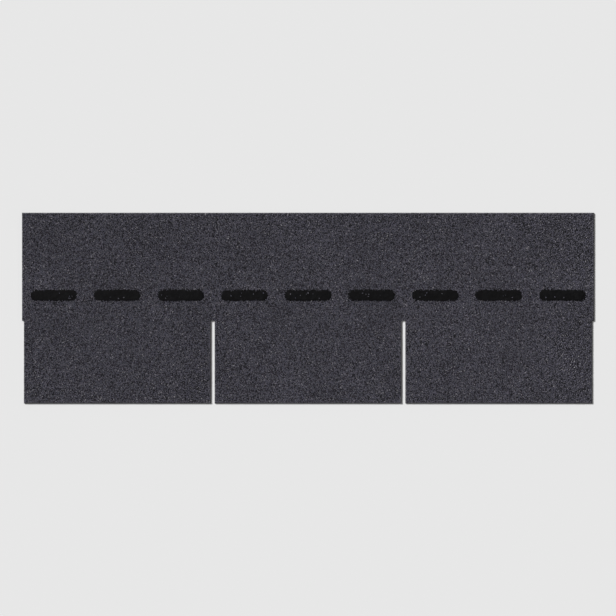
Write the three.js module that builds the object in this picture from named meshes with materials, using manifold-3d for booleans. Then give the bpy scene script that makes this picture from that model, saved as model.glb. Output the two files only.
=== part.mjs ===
// One three-tab asphalt shingle, lying flat with its granules up.
//
// Millimetres, +Z up. X runs along the strip and +Y points up the roof, so the
// tabs hang on the -Y side and the headlap, which the next course covers, is on
// the +Y side. The origin is the middle of the underside.
//
// The strip is one coated and granulated sheet, cut out by a die, so it is one
// solid. The sealant is laid on its granules in dashes, and a release film is
// pressed into its back, where the dashes of the shingle below would touch.

import * as THREE from 'three';
import { mergeVertices } from 'three/addons/utils/BufferGeometryUtils.js';
import Module from 'manifold-3d';

const wasm = await Module();
wasm.setup();

// Sheet
const TAB_COUNT = 3;
const TAB_WIDTH = 304.8;
const STRIP_HEIGHT = 304.8;
const STRIP_THICKNESS = 2.7;

// Cutouts between the tabs. Each end of the strip has half of one.
const CUTOUT_WIDTH = 6;
const CUTOUT_LENGTH = 132;
const CUTOUT_CORNER_RADIUS = 1.5;

// The die rolls the cut edges over a little, on both faces
const EDGE_ROLL_DEPTH = 0.4;
const EDGE_ROLL_WIDTH = 0.3;

// Sealant dashes
const DASHES_PER_TAB = 3;
const DASH_GAP = 25.4;
const DASH_WIDTH = 19;
const DASH_THICKNESS = 0.8;
const DASH_SHOULDER = 4;
const DASH_ABOVE_CUTOUTS = 31;

// Release film
const FILM_MARGIN = 6.5;
const FILM_THICKNESS = 0.1;

// Facets
const CORNER_STEPS = 5;
const DASH_END_STEPS = 10;
const EDGE_ROLL_STEPS = 2;
const DASH_SHOULDER_STEPS = 4;

// Places that follow from the sizes
const STRIP_WIDTH = TAB_COUNT * TAB_WIDTH;
const LEFT_END = -STRIP_WIDTH / 2;
const RIGHT_END = STRIP_WIDTH / 2;
const BUTT_EDGE = -STRIP_HEIGHT / 2;
const TOP_EDGE = STRIP_HEIGHT / 2;
const CUTOUT_TOP = BUTT_EDGE + CUTOUT_LENGTH;
const DASH_LINE = CUTOUT_TOP + DASH_ABOVE_CUTOUTS + DASH_WIDTH / 2;
const DASH_PITCH = TAB_WIDTH / DASHES_PER_TAB;
const FILM_WIDTH = DASH_WIDTH + 2 * FILM_MARGIN;

const granules = new THREE.MeshStandardMaterial({
	name: 'granules',
	color: 0x3b3a40,
	roughness: 0.92,
	metalness: 0,
});

const sealant = new THREE.MeshStandardMaterial({
	name: 'sealant',
	color: 0x0b0b0d,
	roughness: 0.35,
	metalness: 0,
});

const film = new THREE.MeshStandardMaterial({
	name: 'film',
	color: 0x6a6c70,
	roughness: 0.3,
	metalness: 0,
});

// A closed geometry as a solid that can be cut
function solidOf(geometry) {

	const bare = geometry.clone();
	bare.deleteAttribute('normal');
	bare.deleteAttribute('uv');
	const merged = mergeVertices(bare);

	return new wasm.Manifold(new wasm.Mesh({
		numProp: 3,
		vertProperties: new Float32Array(merged.attributes.position.array),
		triVerts: new Uint32Array(merged.index.array),
	}));

}

// A solid back as a geometry that can be shown
function geometryOf(solid) {

	const { vertProperties, triVerts } = solid.getMesh();
	const geometry = new THREE.BufferGeometry();
	geometry.setAttribute('position', new THREE.BufferAttribute(vertProperties, 3));
	geometry.setIndex(new THREE.BufferAttribute(triVerts, 1));
	geometry.computeVertexNormals();

	return geometry;

}

function boxBetween(low, high) {

	const size = new THREE.Vector3().subVectors(high, low);
	const middle = new THREE.Vector3().addVectors(low, high).multiplyScalar(0.5);

	return new THREE.BoxGeometry(size.x, size.y, size.z).translate(middle.x, middle.y, middle.z);

}

// The sheet's outline, anticlockwise from the left end of the butt edge
function sheetOutline() {

	const half = CUTOUT_WIDTH / 2;
	const radius = Math.min(CUTOUT_CORNER_RADIUS, half);
	const shoulder = CUTOUT_TOP - radius;
	const outline = new THREE.Shape();

	outline.moveTo(LEFT_END + half, BUTT_EDGE);

	for (let tab = 1; tab < TAB_COUNT; tab++) {

		const x = LEFT_END + tab * TAB_WIDTH;
		outline.lineTo(x - half, BUTT_EDGE);
		outline.lineTo(x - half, shoulder);
		outline.absarc(x - half + radius, shoulder, radius, Math.PI, Math.PI / 2, true);
		outline.absarc(x + half - radius, shoulder, radius, Math.PI / 2, 0, true);
		outline.lineTo(x + half, BUTT_EDGE);

	}

	outline.lineTo(RIGHT_END - half, BUTT_EDGE);
	outline.lineTo(RIGHT_END - half, shoulder);
	outline.absarc(RIGHT_END - half + radius, shoulder, radius, Math.PI, Math.PI / 2, true);
	outline.lineTo(RIGHT_END, CUTOUT_TOP);
	outline.lineTo(RIGHT_END, TOP_EDGE);
	outline.lineTo(LEFT_END, TOP_EDGE);
	outline.lineTo(LEFT_END, CUTOUT_TOP);
	outline.lineTo(LEFT_END + half - radius, CUTOUT_TOP);
	outline.absarc(LEFT_END + half - radius, shoulder, radius, Math.PI / 2, 0, true);
	outline.closePath();

	return outline;

}

// The whole sheet with its rolled edges, before the film is pressed in
function sheetSolid() {

	const geometry = new THREE.ExtrudeGeometry(sheetOutline(), {
		depth: STRIP_THICKNESS - 2 * EDGE_ROLL_DEPTH,
		curveSegments: CORNER_STEPS,
		bevelThickness: EDGE_ROLL_DEPTH,
		bevelSize: EDGE_ROLL_WIDTH,
		bevelOffset: -EDGE_ROLL_WIDTH,
		bevelSegments: EDGE_ROLL_STEPS,
	}).translate(0, 0, EDGE_ROLL_DEPTH);

	return solidOf(geometry);

}

// The band that the film takes from the sheet's underside, past both ends and below
function filmBand() {

	const low = new THREE.Vector3(2 * LEFT_END, DASH_LINE - FILM_WIDTH / 2, -STRIP_THICKNESS);
	const high = new THREE.Vector3(2 * RIGHT_END, DASH_LINE + FILM_WIDTH / 2, FILM_THICKNESS);

	return solidOf(boxBetween(low, high));

}

// One dash of sealant: a flat-bottomed pad with round ends and sloping shoulders
function dashGeometry() {

	const length = DASH_PITCH - DASH_GAP;
	const radius = DASH_WIDTH / 2;
	const straight = length / 2 - radius;
	const outline = new THREE.Shape();
	outline.moveTo(-straight, -radius);
	outline.lineTo(straight, -radius);
	outline.absarc(straight, 0, radius, -Math.PI / 2, Math.PI / 2, false);
	outline.lineTo(-straight, radius);
	outline.absarc(-straight, 0, radius, Math.PI / 2, 3 * Math.PI / 2, false);

	// The bevel rounds both faces, so the lower half is cut away to leave a flat bottom
	const pad = solidOf(new THREE.ExtrudeGeometry(outline, {
		depth: 0,
		curveSegments: DASH_END_STEPS,
		bevelThickness: DASH_THICKNESS,
		bevelSize: DASH_SHOULDER,
		bevelOffset: -DASH_SHOULDER,
		bevelSegments: DASH_SHOULDER_STEPS,
	}));
	const lower = solidOf(boxBetween(
		new THREE.Vector3(-length, -DASH_WIDTH, -2 * DASH_THICKNESS),
		new THREE.Vector3(length, DASH_WIDTH, 0),
	));

	return geometryOf(pad.subtract(lower));

}

function addPiece(group, name, geometry, material, x = 0, y = 0, z = 0) {

	const mesh = new THREE.Mesh(geometry, material);
	mesh.name = name;
	mesh.position.set(x, y, z);
	group.add(mesh);

}

const shingle = new THREE.Group();
const sheet = sheetSolid();
const band = filmBand();

addPiece(shingle, 'shingle_strip', geometryOf(sheet.subtract(band)), granules);
addPiece(shingle, 'release_film', geometryOf(sheet.intersect(band)), film);

for (let dash = 0; dash < TAB_COUNT * DASHES_PER_TAB; dash++) {

	const x = LEFT_END + (dash + 0.5) * DASH_PITCH;
	addPiece(shingle, `sealant_dash_${dash + 1}`, dashGeometry(), sealant, x, DASH_LINE, STRIP_THICKNESS);

}

export default shingle;
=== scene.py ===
import math
import random

import bmesh
import bpy
import numpy as np
from bpy.props import FloatProperty, FloatVectorProperty, IntProperty, PointerProperty
from mathutils import Euler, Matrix, Vector, kdtree, noise


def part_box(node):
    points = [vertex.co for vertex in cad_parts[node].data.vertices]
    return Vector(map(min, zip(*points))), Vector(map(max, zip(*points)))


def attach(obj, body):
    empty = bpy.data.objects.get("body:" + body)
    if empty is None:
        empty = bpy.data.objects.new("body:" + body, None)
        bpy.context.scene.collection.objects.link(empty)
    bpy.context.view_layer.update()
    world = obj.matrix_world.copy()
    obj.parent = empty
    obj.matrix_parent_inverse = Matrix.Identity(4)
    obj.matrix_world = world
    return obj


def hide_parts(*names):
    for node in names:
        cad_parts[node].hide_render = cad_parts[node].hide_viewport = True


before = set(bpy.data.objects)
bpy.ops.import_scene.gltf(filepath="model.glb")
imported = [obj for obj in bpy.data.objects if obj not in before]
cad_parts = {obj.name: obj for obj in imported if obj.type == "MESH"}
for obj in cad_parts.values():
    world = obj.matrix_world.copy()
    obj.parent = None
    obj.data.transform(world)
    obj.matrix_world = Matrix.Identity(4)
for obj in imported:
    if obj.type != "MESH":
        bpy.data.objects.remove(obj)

bl_info = {
    "name": "Three-Tab Asphalt Shingle",
    "version": (1, 0, 0),
    "blender": (4, 5, 0),
    "location": "3D View > Sidebar > Shingle",
    "description": "Granules, cut edges, sealant and release film on one asphalt shingle",
    "category": "Object",
}

BODY = "root"
MM = 0.001

STRIP = "shingle_strip"
FILM = "release_film"
DASHES = sorted(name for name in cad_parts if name.startswith("sealant_dash_"))
STRIP_LOW, STRIP_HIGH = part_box(STRIP)
TABS = ("left", "middle", "right")

# Points closer together than this are one point
WELD = 1e-6

# Faces whose directions differ by less than this are one flat face
FLAT_ANGLE = math.radians(0.5)

# Height of a face's normal from which the face counts as level
LEVEL = 0.9

# A piece is cut into at least this many cells each way
FEWEST_CELLS = 2

# Heights at which the cut edge's faces are divided, as shares of the strip's thickness
WALL_CUTS = (0.25, 0.4, 0.55, 0.7)

# How many corners each shape of granule has round its foot and round its top
COARSE_SHAPES = 8 * ((3, 3),) + 4 * ((4, 3),)
RIM_SHAPES = 8 * ((4, 3),)
FINE_SHAPES = 6 * ((3, 1),)

# The rings that these corners lie on: their radius, their height and how far a corner strays off it
FOOT_RING = (1.0, -0.9, 0.1)
TOP_RING = (0.67, 0.9, 0.25)

# How far a corner strays round its ring, in steps between corners, and how far out, in ring radii
CORNER_STRAY = 0.25
CORNER_REACH = (0.85, 1.15)

# How far a face's normal points outwards where the die has sheared it
SHEARED = 0.5

# Spread of the granules' widths, of their lengths and breadths next to these, and of their heights
WIDTHS = (0.78, 1.2)
LENGTHS = (0.95, 1.2)
BREADTHS = (0.8, 1.0)
HEIGHTS = (0.85, 1.1)

# Spread of the fine grains' sizes, and their proportions
FINE_SIZES = (0.75, 1.25)
FINE_FORM = (1.0, 1.0, 0.8)

# In granule radii: how far in from the cut edge the loose pattern starts, how far it goes on under
# a dash, and how far in from a dash's edge the granules stuck on it start
EDGE_GAP = 1.4
DASH_LAP = 2
DASH_CLEAR = 4

# Depth of a stuck granule's middle below the dash's top, in granule heights
STUCK_DEPTH = 0.5

# Where a sheared granule lies along its own stretch of edge, how far in it lies, and how far in it
# has to lie at a corner, the last two in its half lengths
RIM_ALONG = (0.2, 0.8)
RIM_REACH = (0.75, 1.05)
RIM_CLEAR = 0.7

# How far a fine grain strays, in granule pitches, and how far it stands above the bed, in its radii
FINE_STRAY = 0.15
FINE_LIFT = 0.4

# Depth of the small nicks in a dash's edge, next to its bulges
NICK_DEPTH = 0.6

# Places of the granule colours along the tone ramp, from the darkest to the palest
TONES = (
    (0.0, "black"),
    (0.09, "black"),
    (0.24, "charcoal"),
    (0.50, "slate"),
    (0.75, "stone"),
    (0.96, "grey"),
    (1.0, "pale"),
)

# Corner of the granules' part of the colour map, its size, and the patch that one granule takes
MAP_LOW = np.array((0.02, 0.04))
MAP_SPAN = np.array((0.96, 0.92))
MAP_PATCH = np.array((0.004, 0.010))

# Sockets of the mix node that take its factor and two colours, and the one that gives the mix
MIX_INPUTS = (0, 6, 7)
MIX_OUTPUT = 2

# The whole range of a mask, the middle of a noise's range and the commonest shade
WHOLE = (0.0, 1.0)
NOISE_MIDDLE = 0.5
SHADE_MIDDLE = 0.5


def colour(name, description, default):
    return FloatVectorProperty(
        name=name, description=description, default=default, subtype="COLOR", min=0.0, max=1.0
    )


def length(name, description, millimetres):
    return FloatProperty(
        name=name,
        description=description,
        default=millimetres * MM,
        unit="LENGTH",
        subtype="DISTANCE",
        precision=5,
    )


def share(name, description, default):
    return FloatProperty(
        name=name, description=description, default=default, subtype="FACTOR", min=0.0, max=1.0
    )


def angle(name, description, degrees):
    return FloatProperty(
        name=name, description=description, default=math.radians(degrees), subtype="ANGLE"
    )


# ---------------------------------------------------------------- settings


class ShingleSheetSettings(bpy.types.PropertyGroup):
    cell: length("Cell", "Spacing of the cuts that divide the sheet's faces", 10.5)
    wall_cell: length("Edge Cell", "Spacing of the cuts that divide the cut edge's faces", 1.75)
    bed_drop: length("Bed Drop", "How far the asphalt lies below the granules' tops", 0.7)
    wave_size: length("Wave Size", "Width of the slow waves in the asphalt bed", 40.0)
    wave_height: length("Wave Height", "Height of the slow waves in the asphalt bed", 0.05)
    rim: length("Rim", "Width of the rim that the cutting die presses down", 1.1)
    rim_drop: length("Rim Drop", "How far the die presses the rim down", 0.2)
    ragged: length("Ragged Edge", "Mean depth of the nicks in the cut edge", 0.2)
    ragged_size: length("Ragged Size", "Width of the nicks in the cut edge", 1.6)
    mat_height: length("Mat Height", "Height of the glass mat above the back", 1.1)
    mat_thickness: length("Mat Thickness", "Thickness of the line that the glass mat shows", 0.35)
    fibre: length("Fibre", "Width of the streaks that the glass fibres leave", 1.3)
    grit_size: length("Grit Size", "Spacing of the grains pressed into the asphalt", 0.9)
    sand_size: length("Sand Size", "Spacing of the grains of sand on the back", 0.67)
    asphalt: colour("Asphalt", "Coating asphalt between the granules", (0.014, 0.014, 0.016))
    grit: colour("Grit", "Fine grains pressed into the asphalt", (0.085, 0.083, 0.100))
    mat: colour("Mat", "Glass mat that shows in the cut edge", (0.17, 0.155, 0.13))
    filler: colour("Filler", "Stone dust in the asphalt, where it is cut", (0.040, 0.039, 0.037))
    sand: colour("Sand", "Parting sand on the back", (0.30, 0.29, 0.27))
    back: colour("Back", "Asphalt on the underside", (0.024, 0.024, 0.025))


class ShingleGranuleSettings(bpy.types.PropertyGroup):
    pitch: length("Pitch", "Mean distance from one granule to the next", 1.9)
    scatter: share("Scatter", "How far a granule strays from an even pattern, in pitches", 0.34)
    radius: length("Radius", "Mean radius of a granule", 1.12)
    height: length("Height", "How far a granule's top stands above its middle", 0.55)
    unlevel: length("Unlevel", "How far a granule is set too high or too low", 0.08)
    tilt: angle("Tilt", "Usual tilt of a granule", 7.0)
    lost: share("Lost", "Share of the granules that have come off", 0.02)
    stuck: share("Stuck", "Share of the places on the sealant that hold a granule", 0.02)
    fine_radius: length("Fine Radius", "Mean radius of the fine grains", 0.62)
    fine_gap: length("Fine Gap", "Least distance from a fine grain to a granule", 1.05)
    rim_pitch: length("Rim Pitch", "Distance between the granules along the cut edge", 1.3)
    rim_size: share("Rim Size", "Size of the granules along the cut edge, next to the others", 0.86)
    rim_shear: share("Rim Shear", "How far the die shears a top inwards, in granule radii", 0.65)
    rim_twist: angle("Rim Twist", "Usual turn of a sheared granule out of line with the edge", 20.0)
    rim_wear: share("Rim Wear", "How far towards the palest tone a sheared face lies", 0.9)
    drift_size: length("Drift Size", "Width of the slow changes of shade", 71.0)
    drift: share("Drift", "Strength of the slow changes of shade", 0.25)
    shade_spread: share("Shade Spread", "Spread of the shade from one granule to the next", 0.16)
    shade_range: share("Shade Range", "How much the extreme shades change a colour", 0.3)
    seed: IntProperty(name="Seed", description="Seed of the granules' places", default=7, min=0)
    black: colour("Black", "Darkest granules", (0.012, 0.012, 0.014))
    charcoal: colour("Charcoal", "Dark granules", (0.068, 0.066, 0.080))
    slate: colour("Slate", "Commonest granules, bluish", (0.093, 0.090, 0.122))
    stone: colour("Stone", "Middling granules", (0.115, 0.110, 0.135))
    grey: colour("Grey", "Paler granules", (0.143, 0.137, 0.160))
    pale: colour("Pale", "The few bright specks and the sheared faces", (0.29, 0.28, 0.30))


class ShingleSealantSettings(bpy.types.PropertyGroup):
    cell: length("Cell", "Spacing of the cuts that divide a dash's faces", 1.1)
    sink: length("Sink", "How far a dash runs down between the granules", 0.85)
    spread: length("Spread", "How far a dash's edge wanders in and out", 1.1)
    wander_size: length("Wander Size", "Width of the bulges in a dash's edge", 8.0)
    nick_size: length("Nick Size", "Width of the small nicks in a dash's edge", 2.5)
    lump: length("Lump", "Distance between the lumps where granules show through a dash", 2.5)
    lump_depth: length("Lump Depth", "Depth of the dips between those lumps", 1.4)
    pit: length("Pit", "Width of the pits in the sealant's skin", 0.9)
    dust_size: length("Dust Size", "Width of the dusty patches", 6.0)
    bitumen: colour("Bitumen", "Self-sealing asphalt", (0.002, 0.002, 0.0022))
    dust: colour("Dust", "Dusty patches on the sealant", (0.007, 0.007, 0.0075))


class ShingleFilmSettings(bpy.types.PropertyGroup):
    cell: length("Cell", "Spacing of the cuts that divide the film's faces", 6.0)
    pressed: share("Pressed", "Thickness that pressing leaves, next to the whole film's", 0.75)
    pocket: length("Pocket", "Width of the pockets of air under the film", 11.0)
    bubble: length("Bubble", "Spacing of the small bubbles under the film", 1.3)
    wrinkle: length("Wrinkle", "Distance between the film's creases", 14.0)
    plastic: colour("Plastic", "Film over a pocket of air", (0.085, 0.088, 0.095))
    stuck: colour("Stuck", "Film that has bonded to the dark back", (0.028, 0.029, 0.032))


class ShingleStageSettings(bpy.types.PropertyGroup):
    floor_size: length("Floor Size", "Side of the square floor", 60000.0)
    view_width: length("View Width", "Width that the camera takes in", 985.0)
    view_reach: length("View Reach", "Distance past which the camera sees nothing", 100000.0)
    lens: FloatProperty(name="Lens", description="Focal length in millimetres", default=110.0)
    key_height: angle("Key Height", "Height of the key light above the horizon", 30.0)
    key_turn: angle("Key Turn", "Turn of the key light from the left end to the top edge", 39.0)
    key_size: angle("Key Size", "How wide the key light looks, which softens its shadows", 14.0)
    key_share: share("Key Share", "Share of the light that comes from the key", 0.8)
    floor: colour("Floor", "Plain pale floor", (0.80, 0.80, 0.80))


# ---------------------------------------------------------------- nodes


def node(tree, kind, place, inputs=None, **values):
    """A node with its settings, and its inputs linked to sockets or given plain values."""
    made = tree.nodes.new(kind)
    made.location = place
    for key, value in values.items():
        setattr(made, key, value)
    for key, value in (inputs or {}).items():
        if isinstance(value, bpy.types.NodeSocket):
            tree.links.new(value, made.inputs[key])
        else:
            made.inputs[key].default_value = value
    return made


def scale_of(size):
    """Scale of a noise or cell pattern whose features are as wide as this size."""
    return 1 / size


def math_node(tree, place, operation, first, second, clamp=False):
    inputs = {0: first, 1: second}
    made = node(tree, "ShaderNodeMath", place, inputs, operation=operation, use_clamp=clamp)
    return made.outputs[0]


def with_alpha(value):
    """A plain colour as a socket takes it. A socket that gives a colour stays as it is."""
    return value if isinstance(value, bpy.types.NodeSocket) else (*value, 1.0)


def mix_colours(tree, place, factor, first, second, blend="MIX"):
    inputs = dict(zip(MIX_INPUTS, (factor, with_alpha(first), with_alpha(second))))
    made = node(tree, "ShaderNodeMix", place, inputs, data_type="RGBA", blend_type=blend)
    return made.outputs[MIX_OUTPUT]


def multiplied(tree, place, tone, factor):
    return mix_colours(tree, place, 1.0, tone, factor, blend="MULTIPLY")


def map_range(tree, place, value, part, onto=WHOLE):
    """The value, with one part of its range spread over another range and held beyond it."""
    inputs = dict(zip(("From Min", "From Max", "To Min", "To Max"), (*part, *onto)))
    return node(tree, "ShaderNodeMapRange", place, {"Value": value, **inputs}).outputs[0]


def noise_node(tree, place, coordinates, size, detail=3.0, roughness=0.5):
    inputs = {"Scale": scale_of(size), "Detail": detail, "Roughness": roughness}
    made = node(tree, "ShaderNodeTexNoise", place, {"Vector": coordinates, **inputs})
    return made.outputs["Fac"]


def stretched(tree, place, coordinates, factors):
    """Coordinates scaled along each axis, for patterns that are longer one way."""
    inputs = {"Vector": coordinates, "Scale": factors}
    return node(tree, "ShaderNodeMapping", place, inputs).outputs[0]


def new_group(name, inputs, outputs):
    """A group that takes coordinates and these inputs, and the sockets at its two ends."""
    tree = bpy.data.node_groups.new(name, "ShaderNodeTree")
    tree.interface.new_socket("Vector", in_out="INPUT", socket_type="NodeSocketVector")
    for key, default in inputs.items():
        socket = tree.interface.new_socket(key, in_out="INPUT", socket_type="NodeSocketFloat")
        socket.default_value = default
    for key in outputs:
        tree.interface.new_socket(key, in_out="OUTPUT", socket_type="NodeSocketFloat")
    start = node(tree, "NodeGroupInput", (-1300, 0)).outputs
    end = node(tree, "NodeGroupOutput", (600, 0)).inputs
    return tree, start, end


def grit_group():
    """Mineral grains of uneven size and shade: a mask of the grains and a height for bumps.

    A cell's grain strays off its middle, is at most so wide, and slopes down away from it.
    """
    stray = 0.5 * MM
    widest = 0.7
    slope = -1.2
    defaults = {"Scale": scale_of(1.0 * MM), "Share": 0.2}
    tree, start, end = new_group("mineral_grit", defaults, outputs=("Grains", "Height"))
    vector, scale = start["Vector"], start["Scale"]
    shift = node(tree, "ShaderNodeTexNoise", (-1100, -200), {"Vector": vector, "Scale": scale})
    inputs = {0: shift.outputs["Color"], "Scale": stray}
    reach = node(tree, "ShaderNodeVectorMath", (-900, -200), inputs, operation="SCALE").outputs[0]
    inputs = {0: vector, 1: reach}
    shifted = node(tree, "ShaderNodeVectorMath", (-700, 0), inputs, operation="ADD").outputs[0]
    inputs = {"Vector": shifted, "Scale": scale}
    cells = node(tree, "ShaderNodeTexVoronoi", (-500, 100), inputs).outputs
    chance = node(tree, "ShaderNodeSeparateColor", (-300, 250), {0: cells["Color"]}).outputs
    picked = math_node(tree, (-100, 300), "LESS_THAN", chance[0], start["Share"])
    wide = math_node(tree, (-100, 100), "MULTIPLY", chance[1], widest)
    near = math_node(tree, (50, 100), "LESS_THAN", cells["Distance"], wide)
    seen = math_node(tree, (200, 250), "MULTIPLY", picked, near)
    grains = math_node(tree, (350, 200), "MULTIPLY", seen, chance[2])
    sunk = math_node(tree, (-300, -100), "MULTIPLY", cells["Distance"], slope)
    height = math_node(tree, (-100, -100), "ADD", sunk, 1.0, clamp=True)
    tree.links.new(grains, end["Grains"])
    tree.links.new(height, end["Height"])
    return tree


def drift_group():
    """A factor near 1 that drifts slowly up and down over the sheet."""
    defaults = {"Scale": scale_of(80.0 * MM), "Amount": 0.2}
    tree, start, end = new_group("tonal_drift", defaults, outputs=("Factor",))
    inputs = {"Vector": start["Vector"], "Scale": start["Scale"]}
    made = node(tree, "ShaderNodeTexNoise", (-600, 0), inputs)
    centred = math_node(tree, (-400, 0), "SUBTRACT", made.outputs["Fac"], NOISE_MIDDLE)
    swing = math_node(tree, (-200, 0), "MULTIPLY", centred, start["Amount"])
    factor = math_node(tree, (0, 0), "ADD", swing, 1.0)
    tree.links.new(factor, end["Factor"])
    return tree


SHARED_GROUPS = {"mineral_grit": grit_group, "tonal_drift": drift_group}


def place_group(tree, name, place, vector, size, **values):
    """The outputs of a shared effect, which is made on its first use, with features of a size."""
    shared = bpy.data.node_groups.get(name) or SHARED_GROUPS[name]()
    inputs = {"Vector": vector, "Scale": scale_of(size), **values}
    return node(tree, "ShaderNodeGroup", place, inputs, node_tree=shared).outputs


def new_material(name, roughness, specular):
    """A material with a plain shader, and the Object coordinates to drive it by."""
    material = bpy.data.materials.new(name)
    material.use_nodes = True
    tree = material.node_tree
    tree.nodes.clear()
    inputs = {"Roughness": roughness, "Specular IOR Level": specular}
    shader = node(tree, "ShaderNodeBsdfPrincipled", (300, 0), inputs)
    node(tree, "ShaderNodeOutputMaterial", (600, 0), {"Surface": shader.outputs[0]})
    where = node(tree, "ShaderNodeTexCoord", (-1200, 0)).outputs["Object"]
    return material, tree, shader, where


def drive(tree, shader, tone, height, relief, rough=None):
    """Drives the shader's colour, its bumps and, where it is given, its roughness by patterns."""
    bumps = node(tree, "ShaderNodeBump", (100, -300), {"Height": height, "Distance": relief})
    tree.links.new(bumps.outputs[0], shader.inputs["Normal"])
    tree.links.new(tone, shader.inputs["Base Color"])
    if rough is not None:
        tree.links.new(rough, shader.inputs["Roughness"])


# ---------------------------------------------------------------- materials


def granule_material(settings):
    """Ceramic coat on crushed rock, with a tone and a small shift of shade for each granule."""
    roughness_range = (0.62, 0.92)
    change = settings.shade_range
    material, tree, shader, _ = new_material("granule_coat", roughness=0.8, specular=0.1)
    tone = node(tree, "ShaderNodeAttribute", (-900, 200), attribute_name="tone").outputs["Fac"]
    shade = node(tree, "ShaderNodeAttribute", (-900, -100), attribute_name="shade").outputs["Fac"]
    coat = node(tree, "ShaderNodeValToRGB", (-600, 200), {0: tone})
    stops = coat.color_ramp.elements
    while len(stops) < len(TONES):
        stops.new(1.0)
    for stop, (position, name) in zip(stops, TONES):
        stop.position = position
        stop.color = (*getattr(settings, name), 1.0)
    shift = map_range(tree, (-600, -100), shade, WHOLE, (1 - change, 1 + change))
    shaded = multiplied(tree, (-200, 100), coat.outputs[0], shift)
    tree.links.new(shaded, shader.inputs["Base Color"])
    rough = map_range(tree, (-200, -200), shade, WHOLE, roughness_range)
    tree.links.new(rough, shader.inputs["Roughness"])
    return material


def bed_material(settings):
    """Asphalt between the granules, with the finest grains pressed into it."""
    patch = 110 * MM
    relief = 0.4 * MM
    material, tree, shader, where = new_material("asphalt_bed", roughness=0.85, specular=0.1)
    grit = place_group(tree, "mineral_grit", (-800, 0), where, settings.grit_size, Share=0.85)
    slow = place_group(tree, "tonal_drift", (-800, -300), where, patch, Amount=0.4)
    bare = mix_colours(tree, (-400, 100), grit["Grains"], settings.asphalt, settings.grit)
    toned = multiplied(tree, (-150, 100), bare, slow["Factor"])
    drive(tree, shader, toned, grit["Height"], relief)
    return material


def edge_material(settings):
    """Die-cut edge: dull asphalt with stone dust in it, and a paler, streaky line of glass mat."""
    flattened = (1.0, 1.0, 6.0)
    fibre_part = (0.38, 0.62)
    half = settings.mat_thickness / 2
    fade = (0.4 * half, 1.6 * half)
    sway_size = 4 * settings.fibre
    sway_height = 2 * settings.mat_thickness
    dust_size = 0.5 * MM
    relief = 0.4 * MM
    material, tree, shader, where = new_material("cut_edge", roughness=0.75, specular=0.25)
    height = node(tree, "ShaderNodeSeparateXYZ", (-1000, 300), {0: where}).outputs["Z"]
    flat = stretched(tree, (-1000, -200), where, flattened)
    streaks = noise_node(tree, (-800, -200), flat, settings.fibre, detail=4.0)
    sway = noise_node(tree, (-1000, 100), where, sway_size)
    lifted = math_node(tree, (-800, 100), "MULTIPLY", sway, sway_height)
    level = math_node(tree, (-650, 250), "ADD", height, lifted)
    middle = settings.mat_height + settings.mat_thickness
    off = math_node(tree, (-500, 250), "SUBTRACT", level, middle)
    apart = math_node(tree, (-350, 250), "ABSOLUTE", off, 0.0)
    line = map_range(tree, (-200, 250), apart, fade, (1.0, 0.0))
    fibres = map_range(tree, (-600, -200), streaks, fibre_part)
    shown = math_node(tree, (-50, 200), "MULTIPLY", line, fibres)
    dusty = mix_colours(tree, (-300, 0), fibres, settings.asphalt, settings.filler)
    core = mix_colours(tree, (0, 0), shown, dusty, settings.mat)
    grit = place_group(tree, "mineral_grit", (-350, -400), where, dust_size, Share=0.3)
    specked = mix_colours(tree, (150, 200), grit["Grains"], core, settings.grit)
    drive(tree, shader, specked, streaks, relief)
    return material


def back_material(settings):
    """Underside: asphalt dusted with fine sand so that it doesn't stick."""
    patch = 70 * MM
    relief = 0.15 * MM
    material, tree, shader, where = new_material("sanded_back", roughness=0.75, specular=0.35)
    sand = place_group(tree, "mineral_grit", (-800, 100), where, settings.sand_size, Share=0.75)
    slow = place_group(tree, "tonal_drift", (-800, -300), where, patch, Amount=0.7)
    dusted = mix_colours(tree, (-400, 100), sand["Grains"], settings.back, settings.sand)
    toned = multiplied(tree, (-150, 100), dusted, slow["Factor"])
    drive(tree, shader, toned, sand["Height"], relief)
    return material


def sealant_material(settings):
    """Bitumen that was laid hot and has gone dull, with dusty patches and small pits."""
    dusty_part = (0.45, 0.7)
    roughness_range = (0.65, 0.9)
    relief = 0.2 * MM
    material, tree, shader, where = new_material("sealant", roughness=0.75, specular=0.06)
    patches = noise_node(tree, (-800, 100), where, settings.dust_size, detail=5.0, roughness=0.6)
    dust = map_range(tree, (-500, 100), patches, dusty_part)
    dusty = mix_colours(tree, (-200, 200), dust, settings.bitumen, settings.dust)
    rough = map_range(tree, (-200, -50), dust, WHOLE, roughness_range)
    knobs = place_group(tree, "mineral_grit", (-800, -300), where, settings.lump)
    pits = noise_node(tree, (-800, -500), where, settings.pit, detail=4.0)
    skin = math_node(tree, (-400, -400), "ADD", knobs["Height"], pits)
    drive(tree, shader, dusty, skin, relief, rough)
    return material


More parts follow.
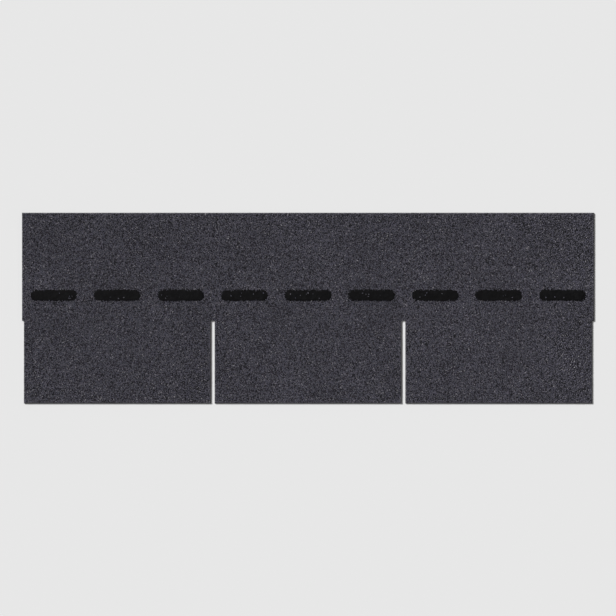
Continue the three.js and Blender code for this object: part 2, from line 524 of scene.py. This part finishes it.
def film_material(settings):
    """Clear film on the dark back, milky over pockets and bubbles of air, and lightly creased."""
    lengthwise = (1.0, 2.0, 1.0)
    loose_part = (0.5, 0.62)
    crease_part = (0.0, 0.12)
    roughness_range = (0.16, 0.32)
    relief = 0.12 * MM
    material, tree, shader, where = new_material("film", roughness=0.2, specular=0.5)
    along = stretched(tree, (-1000, 0), where, lengthwise)
    pockets = noise_node(tree, (-800, 100), along, settings.pocket, detail=8.0, roughness=0.7)
    loose = map_range(tree, (-600, 100), pockets, loose_part)
    specks = place_group(tree, "mineral_grit", (-800, 300), where, settings.bubble, Share=0.35)
    milky = math_node(tree, (-400, 200), "MAXIMUM", loose, specks["Grains"])
    toned = mix_colours(tree, (-200, 100), milky, settings.stuck, settings.plastic)
    rough = map_range(tree, (-200, -50), milky, WHOLE, roughness_range)
    inputs = {"Vector": along, "Scale": scale_of(settings.wrinkle)}
    creases = node(tree, "ShaderNodeTexVoronoi", (-700, -300), inputs, feature="DISTANCE_TO_EDGE")
    folded = map_range(tree, (-500, -300), creases.outputs["Distance"], crease_part)
    puffed = math_node(tree, (-300, -300), "ADD", folded, pockets)
    drive(tree, shader, toned, puffed, relief, rough)
    return material


# ---------------------------------------------------------------- meshes


def finish_piece(bm, name, materials, replaces, smooth=True):
    mesh = bpy.data.meshes.new(name)
    for face in bm.faces:
        face.smooth = smooth
    bm.to_mesh(mesh)
    bm.free()
    place_piece(mesh, name, materials, replaces)


def place_piece(mesh, name, materials, replaces=()):
    piece = bpy.data.objects.new(name, mesh)
    bpy.context.scene.collection.objects.link(piece)
    for material in materials:
        mesh.materials.append(material)
    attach(piece, BODY)
    if replaces:
        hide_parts(*replaces)


def welded_copy(name):
    """The named solid as a bmesh, its loose triangles joined into whole flat faces."""
    bm = bmesh.new()
    bm.from_mesh(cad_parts[name].data)
    bmesh.ops.remove_doubles(bm, verts=bm.verts, dist=WELD)
    bmesh.ops.dissolve_limit(
        bm, angle_limit=FLAT_ANGLE, verts=bm.verts, edges=bm.edges, use_dissolve_boundaries=False
    )
    return bm


def top_face(bm):
    return max((f for f in bm.faces if f.normal.z > LEVEL), key=lambda f: f.calc_area())


def move_verts(bm, placed):
    """Moves every vertex to the place worked out from where all of them were."""
    bm.normal_update()
    for vert, place in [(v, placed(v)) for v in bm.verts]:
        vert.co = place


def cut_across(bm, place, direction, spare_bottom=False):
    """Cuts the faces by a plane, all of them or only those that don't face down."""
    faces = [f for f in bm.faces if not spare_bottom or f.normal.z > -LEVEL]
    edges = {e for f in faces for e in f.edges}
    verts = {v for f in faces for v in f.verts}
    geometry = [*faces, *edges, *verts]
    bmesh.ops.bisect_plane(bm, geom=geometry, plane_co=place, plane_no=direction, dist=WELD)


def cut_into_cells(bm, low, high, cell, spare_bottom=False):
    """Cuts the bmesh by planes across X and Y, evenly spaced between two corners."""
    for axis in (0, 1):
        count = max(FEWEST_CELLS, round((high[axis] - low[axis]) / cell))
        direction = Vector((axis == 0, axis == 1, 0))
        for step in range(1, count):
            place = Vector(low).lerp(Vector(high), step / count)
            cut_across(bm, place, direction, spare_bottom)


def is_level(part):
    """Whether all the corners of an edge or a face lie at one height."""
    heights = [v.co.z for v in part.verts]
    return max(heights) - min(heights) < WELD


def divide_walls(bm, cell, wall_cell):
    """Divides the cut edge across its height, and more closely along it than the flat faces."""
    for part in WALL_CUTS:
        cut_across(bm, (0, 0, STRIP_HIGH.z * part), (0, 0, 1))
    bm.normal_update()
    walls = {f for f in bm.faces if abs(f.normal.z) < LEVEL}
    long_edges = [e for e in bm.edges if is_level(e) and e.calc_length() > wall_cell]
    edges = [e for e in long_edges if any(f in walls for f in e.link_faces)]
    cuts = round(cell / wall_cell) - 1
    made = bmesh.ops.subdivide_edges(bm, edges=edges, cuts=cuts, use_grid_fill=True)
    # Where a flat face has two of these edges, the cuts run across it too, and are taken out again
    made_edges = [part for part in made["geom_inner"] if isinstance(part, bmesh.types.BMEdge)]
    astray = [e for e in made_edges if all(map(is_level, e.link_faces))]
    bmesh.ops.dissolve_edges(bm, edges=astray)


def outline_points():
    """Corners of the strip's top face, in order."""
    bm = welded_copy(STRIP)
    points = np.array([v.co.xy for v in top_face(bm).verts])
    bm.free()
    return points


def depth_inside(points, outline):
    """How far each point lies inside the outline, negative outside it."""
    depth = np.full(len(points), np.inf)
    inside = np.zeros(len(points), bool)
    x, y = points.T
    for start, end in zip(outline, np.roll(outline, -1, axis=0)):
        along = end - start
        part = np.clip((points - start) @ along / (along @ along), 0, 1)
        depth = np.minimum(depth, np.linalg.norm(points - start - part[:, None] * along, axis=1))
        if start[1] != end[1]:
            crosses = (start[1] > y) != (end[1] > y)
            inside ^= crosses & (x < start[0] + (y - start[1]) * along[0] / along[1])
    return np.where(inside, depth, -depth)


def dash_form(name):
    """A dash's middle, half the length between the middles of its round ends, and their radius."""
    low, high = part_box(name)
    radius = (high.y - low.y) / 2
    return (low + high) / 2, (high.x - low.x) / 2 - radius, radius


def depth_in_dashes(points):
    """How far each point lies inside the nearest sealant dash, negative outside them all."""
    deepest = np.full(len(points), -np.inf)
    for name in DASHES:
        middle, straight, radius = dash_form(name)
        dx = np.maximum(np.abs(points[:, 0] - middle.x) - straight, 0)
        deepest = np.maximum(deepest, radius - np.hypot(dx, points[:, 1] - middle.y))
    return deepest


def even_pattern(pitch):
    """Points of a pattern of equal triangles over the strip, and the middles of the triangles."""
    row = pitch * math.sqrt(3) / 2
    rows = np.arange(STRIP_LOW.y, STRIP_HIGH.y, row)
    x, y = np.meshgrid(np.arange(STRIP_LOW.x, STRIP_HIGH.x, pitch), rows)
    x = x + (np.arange(len(rows)) % 2)[:, None] * pitch / 2
    points = np.stack([x.ravel(), y.ravel()], 1)
    return points, np.concatenate([points + (pitch / 2, row / 3), points + (0, row * 2 / 3)])


def strewn(rng, points, reach):
    """The points, each moved by up to the reach along both axes."""
    return points + rng.uniform(-reach, reach, points.shape)


def rim_points(rng, outline, pitch):
    """A loose row of points along the outline, and the way out from each."""
    sides = np.roll(outline, -1, axis=0) - outline
    lengths = np.linalg.norm(sides, axis=1)
    ends = np.cumsum(lengths)
    count = round(ends[-1] / pitch)
    walked = (np.arange(count) + rng.uniform(*RIM_ALONG, count)) * ends[-1] / count
    side = np.searchsorted(ends, walked)
    along = sides[side] / lengths[side][:, None]
    points = outline[side] + along * (walked - ends[side] + lengths[side])[:, None]
    return points, np.column_stack([along[:, 1], -along[:, 0]])


def far_from(points, others, apart):
    """Those of the points that have none of the others nearer than the distance."""
    tree = kdtree.KDTree(len(others))
    for index, other in enumerate(others):
        tree.insert((*other, 0), index)
    tree.balance()
    return points[[tree.find((*point, 0))[2] > apart for point in points]]


def uneven_sizes(rng, radius, height, total):
    """Half lengths, half widths and half heights of uneven granules."""
    widths = radius * rng.uniform(*WIDTHS, total)
    long = widths * rng.uniform(*LENGTHS, total)
    short = widths * rng.uniform(*BREADTHS, total)
    return np.stack([long, short, height * rng.uniform(*HEIGHTS, total)], 1)


def granule_shape(draw, feet, tops, shear, wear):
    """One crushed-rock chip of radius 1: its corners, its triangles, and each triangle's wear.

    The shear moves its top back along X, and the slope that this leaves has lost its coat.
    """
    bm = bmesh.new()
    for count, (radius, height, sway), back in ((feet, FOOT_RING, 0.0), (tops, TOP_RING, shear)):
        first = draw.uniform(0, math.tau)
        for corner in range(count):
            stray = draw.uniform(-CORNER_STRAY, CORNER_STRAY)
            turn = first + (corner + stray) * math.tau / count
            reach = radius * draw.uniform(*CORNER_REACH)
            x, y = reach * math.cos(turn) - back, reach * math.sin(turn)
            bmesh.ops.create_vert(bm, co=(x, y, height + draw.uniform(-sway, sway)))
    bmesh.ops.convex_hull(bm, input=bm.verts[:])
    bmesh.ops.recalc_face_normals(bm, faces=bm.faces)
    bm.normal_update()
    bm.verts.index_update()
    corners = np.array([v.co for v in bm.verts])
    triangles = np.array([[v.index for v in f.verts] for f in bm.faces])
    worn = np.array([wear if f.normal.x > SHEARED else 0.0 for f in bm.faces])
    bm.free()
    return corners, triangles, worn


def turned(spins, leans):
    """Matrices that spin about Z, then tip the top towards each lean by the lean's length."""
    angles = np.linalg.norm(leans, axis=1)
    x, y = (leans / np.maximum(angles, WELD)[:, None]).T
    sine, rest = np.sin(angles), 1 - np.cos(angles)
    tip = [
        [1 - rest * x * x, -rest * x * y, sine * x],
        [-rest * x * y, 1 - rest * y * y, sine * y],
        [-sine * x, -sine * y, 1 - rest],
    ]
    none, one = np.zeros_like(spins), np.ones_like(spins)
    cos, sin = np.cos(spins), np.sin(spins)
    spin = [[cos, -sin, none], [sin, cos, none], [none, none, one]]
    return np.array(tip).transpose(2, 0, 1) @ np.array(spin).transpose(2, 0, 1)


def chips_at(rng, settings, spots, middles, spins, sizes, kinds, shear=0.0, wear=0.0):
    """A table with a row for each chip, its place, form and coat, and the shapes that they copy."""
    draw = random.Random(settings.seed)
    shapes = [granule_shape(draw, *corners, shear, wear) for corners in kinds]
    places = np.column_stack([spots, middles])
    total = len(places)
    slow = np.array([noise.noise(Vector(place) / settings.drift_size) for place in places])
    shades = SHADE_MIDDLE + settings.drift * slow + rng.normal(0, settings.shade_spread, total)
    chips = {
        "place": places,
        "spin": spins,
        "lean": rng.normal(0, settings.tilt, (total, 2)),
        "size": sizes,
        "kind": rng.choice(len(shapes), total),
        "tone": rng.uniform(0, 1, total),
        "shade": np.clip(shades, 0, 1),
    }
    return chips, shapes


def gathered(groups):
    """One table of chips and one list of shapes, from several pairs of the two."""
    tables, shapes = [], []
    for chips, own_shapes in groups:
        tables.append({**chips, "kind": chips["kind"] + len(shapes)})
        shapes += own_shapes
    return {key: np.concatenate([table[key] for table in tables]) for key in tables[0]}, shapes


def granule_piece(name, chips, shapes, material):
    """Joins copies of the chip shapes into one mesh, one copy for each row of chips."""
    corner_rows, triangle_rows, colour_rows, local_rows = [], [], [], []
    offset = 0
    for kind, (corners, triangles, worn) in enumerate(shapes):
        mine = {key: values[chips["kind"] == kind] for key, values in chips.items()}
        count = len(mine["kind"])
        turns = turned(mine["spin"], mine["lean"])
        sized = corners[None] * mine["size"][:, None]
        placed = sized @ turns.transpose(0, 2, 1) + mine["place"][:, None]
        corner_rows.append(placed.reshape(-1, 3))
        starts = offset + np.arange(count) * len(corners)
        triangle_rows.append((triangles[None] + starts[:, None, None]).reshape(-1, 3))
        tones = worn + (1 - worn) * mine["tone"][:, None]
        shades = np.broadcast_to(mine["shade"][:, None], tones.shape)
        colour_rows.append(np.repeat(np.stack([tones, shades], 2).reshape(-1, 2), 3, axis=0))
        local_rows.append(np.tile(corners[triangles.ravel(), :2], (count, 1)))
        offset += count * len(corners)
    corners, triangles = np.concatenate(corner_rows), np.concatenate(triangle_rows)
    colours, local = np.concatenate(colour_rows), np.concatenate(local_rows)

    mesh = bpy.data.meshes.new(name)
    mesh.vertices.add(len(corners))
    mesh.vertices.foreach_set("co", corners.astype(np.float32).ravel())
    mesh.loops.add(triangles.size)
    mesh.loops.foreach_set("vertex_index", triangles.astype(np.int32).ravel())
    mesh.polygons.add(len(triangles))
    mesh.polygons.foreach_set("loop_start", np.arange(0, triangles.size, 3, dtype=np.int32))
    for attribute, values in zip(("tone", "shade"), colours.T):
        layer = mesh.attributes.new(attribute, "FLOAT", "CORNER")
        layer.data.foreach_set("value", values.astype(np.float32))
    # The colour map has tone across it and shade up it, so each face lies round its own colour
    on_map = MAP_LOW + MAP_SPAN * colours + MAP_PATCH * local
    mesh.uv_layers.new(name="OFBake")
    mesh.uv_layers[0].uv.foreach_set("vector", on_map.astype(np.float32).ravel())
    mesh.update(calc_edges=True)
    mesh.validate()
    place_piece(mesh, name, [material])


# ---------------------------------------------------------------- operators


class SHINGLE_OT_add_sheet(bpy.types.Operator):
    """Add the coated sheet: asphalt bed, cut edges and sanded back"""

    bl_idname = "shingle.add_sheet"
    bl_label = "Add Sheet"
    bl_options = {"REGISTER", "UNDO"}

    def execute(self, context):
        settings = context.scene.shingle_sheet
        bm = welded_copy(STRIP)
        rim = bm.verts.layers.float.new("rim")
        top = top_face(bm)
        for vert in top.verts:
            vert[rim] = 1.0
        bmesh.ops.inset_region(bm, faces=[top], thickness=settings.rim, use_even_offset=True)
        for vert in top.verts:
            vert[rim] = 0.0
        cut_into_cells(bm, STRIP_LOW, STRIP_HIGH, settings.cell)
        divide_walls(bm, settings.cell, settings.wall_cell)
        bm.normal_update()
        bed, edge, back = range(3)
        for face in bm.faces:
            if face.normal.z > LEVEL:
                face.material_index = bed
            elif face.normal.z < -LEVEL:
                face.material_index = back
            else:
                face.material_index = edge

        squeeze = 1 - settings.bed_drop / STRIP_HIGH.z

        def pressed(vert):
            outward = Vector((vert.normal.x, vert.normal.y, 0))
            nick = 1 - noise.noise(vert.co / settings.ragged_size)
            place = vert.co - outward * nick * settings.ragged
            place.z = vert.co.z * squeeze
            if vert.co.z > STRIP_HIGH.z - WELD:
                wave = noise.noise(vert.co / settings.wave_size) * settings.wave_height
                place.z += wave - vert[rim] * settings.rim_drop
            return place

        move_verts(bm, pressed)
        bm.verts.layers.float.remove(rim)
        materials = [bed_material(settings), edge_material(settings), back_material(settings)]
        finish_piece(bm, "sheet", materials, replaces=[STRIP], smooth=False)
        return {"FINISHED"}


class SHINGLE_OT_add_granules(bpy.types.Operator):
    """Add the granules, a joined mesh for each tab and each stretch of headlap"""

    bl_idname = "shingle.add_granules"
    bl_label = "Add Granules"
    bl_options = {"REGISTER", "UNDO"}

    def execute(self, context):
        settings = context.scene.shingle_granules
        sheet = context.scene.shingle_sheet
        rng = np.random.default_rng(settings.seed)
        outline = outline_points()
        coarse = self.coarse_chips(settings, rng, outline)
        rim = self.rim_chips(settings, sheet, rng, outline)
        taken = np.concatenate([coarse[0]["place"], rim[0]["place"]])
        fine = self.fine_chips(settings, sheet, rng, outline, taken[:, :2])
        chips, shapes = gathered([coarse, rim, fine])

        material = granule_material(settings)
        x, y = chips["place"][:, 0], chips["place"][:, 1]
        tab_width = (STRIP_HIGH.x - STRIP_LOW.x) / len(TABS)
        column = np.clip(((x - STRIP_LOW.x) / tab_width).astype(int), 0, len(TABS) - 1)
        cutout_top = max(point[1] for point in outline if abs(point[0]) < tab_width)
        for index, side in enumerate(TABS):
            for part, within in (("tab", y <= cutout_top), ("headlap", y > cutout_top)):
                mine = within & (column == index)
                some = {key: values[mine] for key, values in chips.items()}
                granule_piece(f"granules_{side}_{part}", some, shapes, material)
        return {"FINISHED"}

    def coarse_chips(self, settings, rng, outline):
        """The granules over the whole face, and those stuck in the sealant."""
        radius, height = settings.radius, settings.height
        pattern, _ = even_pattern(settings.pitch)
        spots = strewn(rng, pattern, settings.scatter * settings.pitch)
        depth = depth_inside(spots, outline)
        buried = depth_in_dashes(spots)
        chance = rng.uniform(0, 1, len(spots))
        clear = (depth > EDGE_GAP * radius) & (buried < DASH_LAP * radius)
        loose = (chance > settings.lost) & clear
        stuck = (chance < settings.stuck) & (buried > DASH_CLEAR * radius)
        kept = loose | stuck
        total = np.count_nonzero(kept)
        middles = np.full(total, STRIP_HIGH.z - height)
        middles[stuck[kept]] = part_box(DASHES[0])[1].z - STUCK_DEPTH * height
        middles += rng.uniform(-settings.unlevel, settings.unlevel, total)
        spins = rng.uniform(0, math.tau, total)
        sizes = uneven_sizes(rng, radius, height, total)
        return chips_at(rng, settings, spots[kept], middles, spins, sizes, COARSE_SHAPES)

    def rim_chips(self, settings, sheet, rng, outline):
        """The row along the edges, which the die shears off at a slope."""
        height = settings.height
        points, ways_out = rim_points(rng, outline, settings.rim_pitch)
        sizes = uneven_sizes(rng, settings.rim_size * settings.radius, height, len(points))
        reach = sizes[:, 0] * rng.uniform(*RIM_REACH, len(points))
        spots = points - ways_out * reach[:, None]
        clear = depth_inside(spots, outline) > RIM_CLEAR * sizes[:, 0]
        spots, ways_out, sizes = spots[clear], ways_out[clear], sizes[clear]
        total = len(spots)
        middles = np.full(total, STRIP_HIGH.z - height - sheet.rim_drop)
        twists = rng.normal(0, settings.rim_twist, total)
        spins = np.arctan2(ways_out[:, 1], ways_out[:, 0]) + twists
        worn = {"shear": settings.rim_shear, "wear": settings.rim_wear}
        return chips_at(rng, settings, spots, middles, spins, sizes, RIM_SHAPES, **worn)

    def fine_chips(self, settings, sheet, rng, outline, granules):
        """The fine grains in the wider gaps between the granules."""
        radius = settings.fine_radius
        _, gaps = even_pattern(settings.pitch)
        gaps = strewn(rng, gaps, FINE_STRAY * settings.pitch)
        gaps = gaps[(depth_inside(gaps, outline) > radius) & (depth_in_dashes(gaps) < 0)]
        gaps = far_from(gaps, granules, settings.fine_gap)
        total = len(gaps)
        middles = np.full(total, STRIP_HIGH.z - sheet.bed_drop + FINE_LIFT * radius)
        spins = rng.uniform(0, math.tau, total)
        sizes = radius * rng.uniform(*FINE_SIZES, (total, 3)) * FINE_FORM
        return chips_at(rng, settings, gaps, middles, spins, sizes, FINE_SHAPES)


class SHINGLE_OT_add_sealant(bpy.types.Operator):
    """Add the sealant dashes that were laid hot on the granules"""

    bl_idname = "shingle.add_sealant"
    bl_label = "Add Sealant"
    bl_options = {"REGISTER", "UNDO"}

    def execute(self, context):
        settings = context.scene.shingle_sealant
        material = sealant_material(settings)
        for name in DASHES:
            low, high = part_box(name)
            middle, straight, _ = dash_form(name)

            def flowed(vert):
                outward = vert.co - middle
                outward.x -= min(max(outward.x, -straight), straight)
                outward.z = 0
                bulge = noise.noise(vert.co / settings.wander_size)
                nick = noise.noise(vert.co / settings.nick_size)
                raised = (vert.co.z - low.z) / (high.z - low.z)
                wander = (bulge + NICK_DEPTH * nick) * (1 - raised**2) * settings.spread
                place = vert.co + outward.normalized() * wander
                to_lump = noise.voronoi(vert.co / settings.lump)[0][0]
                place.z -= settings.sink * (1 - raised) + to_lump**2 * settings.lump_depth * raised
                return place

            bm = welded_copy(name)
            cut_into_cells(bm, low, high, settings.cell, spare_bottom=True)
            move_verts(bm, flowed)
            finish_piece(bm, name.replace("dash", "bead"), [material], replaces=[name])
        return {"FINISHED"}


class SHINGLE_OT_add_film(bpy.types.Operator):
    """Add the release film on the back"""

    bl_idname = "shingle.add_film"
    bl_label = "Add Release Film"
    bl_options = {"REGISTER", "UNDO"}

    def execute(self, context):
        settings = context.scene.shingle_film
        bm = welded_copy(FILM)
        cut_into_cells(bm, *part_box(FILM), settings.cell)
        bmesh.ops.scale(bm, vec=(1.0, 1.0, settings.pressed), verts=bm.verts)
        finish_piece(bm, "film", [film_material(settings)], replaces=[FILM])
        return {"FINISHED"}


class SHINGLE_OT_add_stage(bpy.types.Operator):
    """Add the floor, the lights and the camera"""

    bl_idname = "shingle.add_stage"
    bl_label = "Add Stage"
    bl_options = {"REGISTER", "UNDO"}

    def execute(self, context):
        settings = context.scene.shingle_stage
        self.add_floor(context.scene, settings)
        self.add_key(context.scene, settings)
        self.add_world(context.scene, settings)
        self.add_camera(context.scene, settings)
        return {"FINISHED"}

    def add_floor(self, scene, settings):
        bm = bmesh.new()
        bmesh.ops.create_grid(bm, x_segments=1, y_segments=1, size=settings.floor_size / 2)
        mesh = bpy.data.meshes.new("floor")
        bm.to_mesh(mesh)
        bm.free()
        floor = bpy.data.objects.new("floor", mesh)
        scene.collection.objects.link(floor)
        material, _, shader, _ = new_material("floor", roughness=0.9, specular=0.0)
        shader.inputs["Base Color"].default_value = with_alpha(settings.floor)
        mesh.materials.append(material)

    def add_key(self, scene, settings):
        """A broad sun, as strong as lights the level floor by its share."""
        sun = bpy.data.lights.new("key", "SUN")
        sun.energy = math.pi * settings.key_share / math.sin(settings.key_height)
        sun.angle = settings.key_size
        key = bpy.data.objects.new("key", sun)
        lean = math.pi / 2 - settings.key_height
        key.rotation_euler = Euler((0, lean, math.pi - settings.key_turn))
        scene.collection.objects.link(key)

    def add_world(self, scene, settings):
        """White light from all round. The camera and reflections see the floor's colour instead."""
        world = bpy.data.worlds.new("studio")
        world.use_nodes = True
        scene.world = world
        tree = world.node_tree
        tree.nodes.clear()
        plain = {"Color": with_alpha(settings.floor)}
        seen = node(tree, "ShaderNodeBackground", (0, 100), plain)
        white = {"Color": (1.0, 1.0, 1.0, 1.0), "Strength": 1 - settings.key_share}
        lit = node(tree, "ShaderNodeBackground", (0, -100), white)
        rays = node(tree, "ShaderNodeLightPath", (-400, 300)).outputs
        glossy, clear = rays["Is Glossy Ray"], rays["Is Transmission Ray"]
        either = math_node(tree, (-200, 300), "MAXIMUM", glossy, clear)
        shows = math_node(tree, (0, 300), "MAXIMUM", rays["Is Camera Ray"], either)
        inputs = {0: shows, 1: lit.outputs[0], 2: seen.outputs[0]}
        mix = node(tree, "ShaderNodeMixShader", (250, 0), inputs)
        node(tree, "ShaderNodeOutputWorld", (450, 0), {"Surface": mix.outputs[0]})

    def add_camera(self, scene, settings):
        """A camera that looks straight down on the middle of the strip."""
        camera = bpy.data.cameras.new("camera")
        camera.lens = settings.lens
        camera.clip_end = settings.view_reach
        eye = bpy.data.objects.new("camera", camera)
        eye.location = (0, 0, settings.view_width * camera.lens / camera.sensor_width)
        scene.collection.objects.link(eye)
        scene.camera = eye
        scene.view_settings.view_transform = "Standard"


class SHINGLE_PT_panel(bpy.types.Panel):
    """Buttons that add each piece of the shingle, with the settings of each below"""

    bl_idname = "SHINGLE_PT_panel"
    bl_label = "Shingle"
    bl_space_type = "VIEW_3D"
    bl_region_type = "UI"
    bl_category = "Shingle"

    def draw(self, context):
        for (name, kind), operator in zip(SETTINGS.items(), OPERATORS):
            box = self.layout.box()
            box.operator(operator.bl_idname)
            for key in kind.__annotations__:
                box.prop(getattr(context.scene, name), key)


OPERATORS = (
    SHINGLE_OT_add_sheet,
    SHINGLE_OT_add_granules,
    SHINGLE_OT_add_sealant,
    SHINGLE_OT_add_film,
    SHINGLE_OT_add_stage,
)
SETTINGS = {
    "shingle_sheet": ShingleSheetSettings,
    "shingle_granules": ShingleGranuleSettings,
    "shingle_sealant": ShingleSealantSettings,
    "shingle_film": ShingleFilmSettings,
    "shingle_stage": ShingleStageSettings,
}


def register():
    for kind in (*SETTINGS.values(), *OPERATORS, SHINGLE_PT_panel):
        bpy.utils.register_class(kind)
    for name, kind in SETTINGS.items():
        setattr(bpy.types.Scene, name, PointerProperty(type=kind))


def unregister():
    for name in SETTINGS:
        delattr(bpy.types.Scene, name)
    for kind in reversed((*SETTINGS.values(), *OPERATORS, SHINGLE_PT_panel)):
        bpy.utils.unregister_class(kind)


def main():
    register()
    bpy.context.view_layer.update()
    bpy.ops.shingle.add_sheet()
    bpy.ops.shingle.add_granules()
    bpy.ops.shingle.add_sealant()
    bpy.ops.shingle.add_film()
    bpy.ops.shingle.add_stage()


if __name__ == "__main__":
    main()
